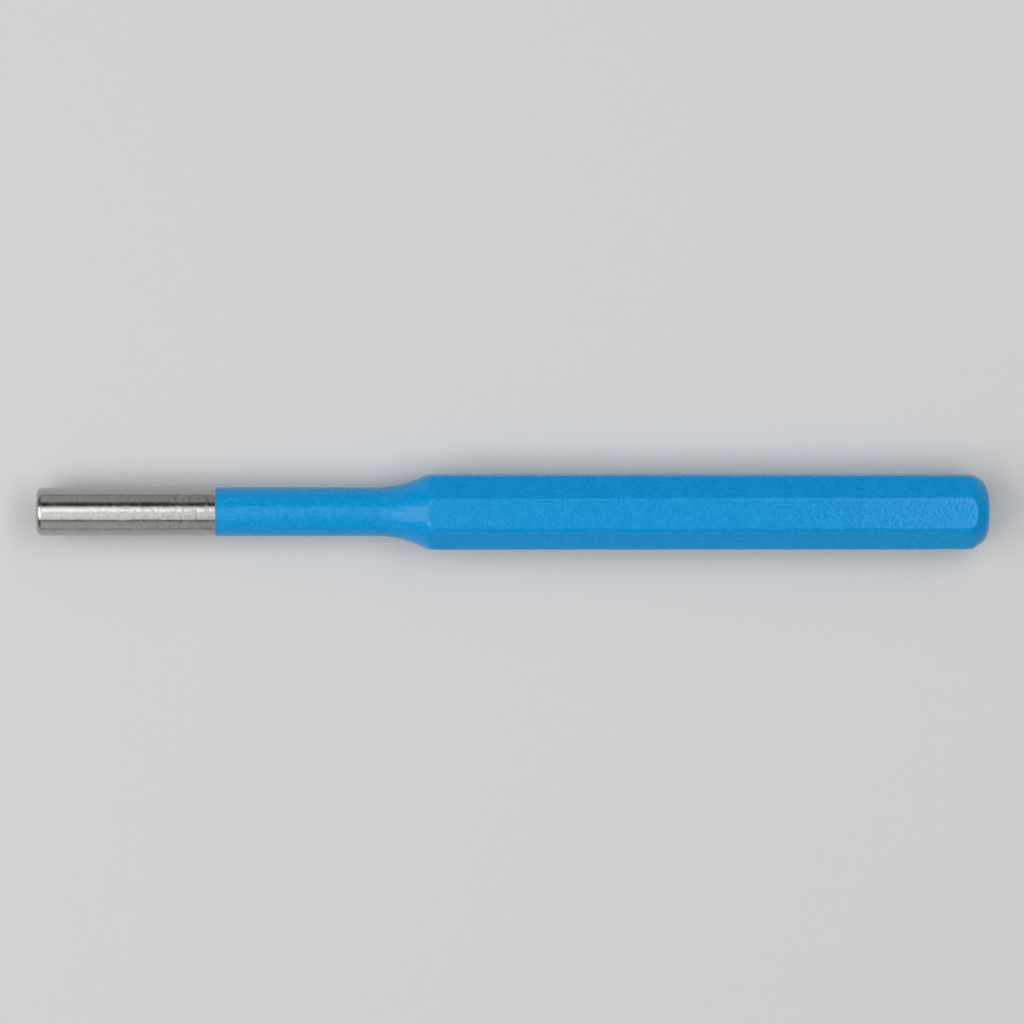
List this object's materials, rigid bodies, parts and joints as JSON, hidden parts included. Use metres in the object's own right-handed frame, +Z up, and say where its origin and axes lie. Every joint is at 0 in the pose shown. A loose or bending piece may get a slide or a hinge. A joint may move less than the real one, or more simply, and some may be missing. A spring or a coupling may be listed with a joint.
{
  "type": "pin punch",
  "caption": "Parallel pin punch: an enamelled octagonal shank with a struck head, a hollow-swept neck and a straight round pin with a bare ground tip, for driving out pins.",
  "frame": {"origin": "on the bench under the middle of the punch, which lies on one flat of its shank", "axes": "+X along the punch from the tip to the struck head, +Z up, square to the flat it lies on"},
  "size_m": [0.15, 0.0118, 0.0117],
  "materials": {
    "ground_steel": "bare tool steel, ground round the pin",
    "blue_enamel": "blue enamel, semi-gloss with a fine orange peel"
  },
  "bodies": {
    "root": {"drive_pin": "ground_steel", "shank": "ground_steel", "pin_enamel": "blue_enamel", "shank_enamel": "blue_enamel"}
  },
  "joints": []
}
